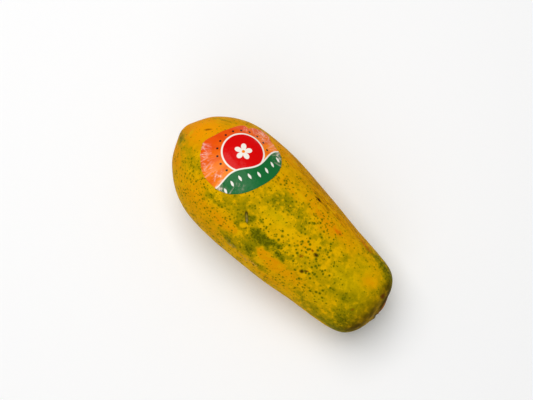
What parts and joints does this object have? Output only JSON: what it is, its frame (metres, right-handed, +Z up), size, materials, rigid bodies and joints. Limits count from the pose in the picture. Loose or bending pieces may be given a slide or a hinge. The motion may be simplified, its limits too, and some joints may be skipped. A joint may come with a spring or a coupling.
{
  "type": "papaya",
  "caption": "Whole ripe papaya of the long kind, lying on its side on a small flat spot, with a low cut stalk stub and an oval film label on its shoulder.",
  "frame": {"origin": "middle of the fruit's box on the surface that it rests on, under its middle", "axes": "+X along the fruit from the blossom tip to the stem end, +Z up; the label is on top, turned towards +Y"},
  "size_m": [0.2504, 0.1094, 0.1068],
  "materials": {
    "skin": "satin",
    "film": "gloss"
  },
  "bodies": {
    "root": {"fruit": "skin", "label": "film"}
  },
  "joints": []
}
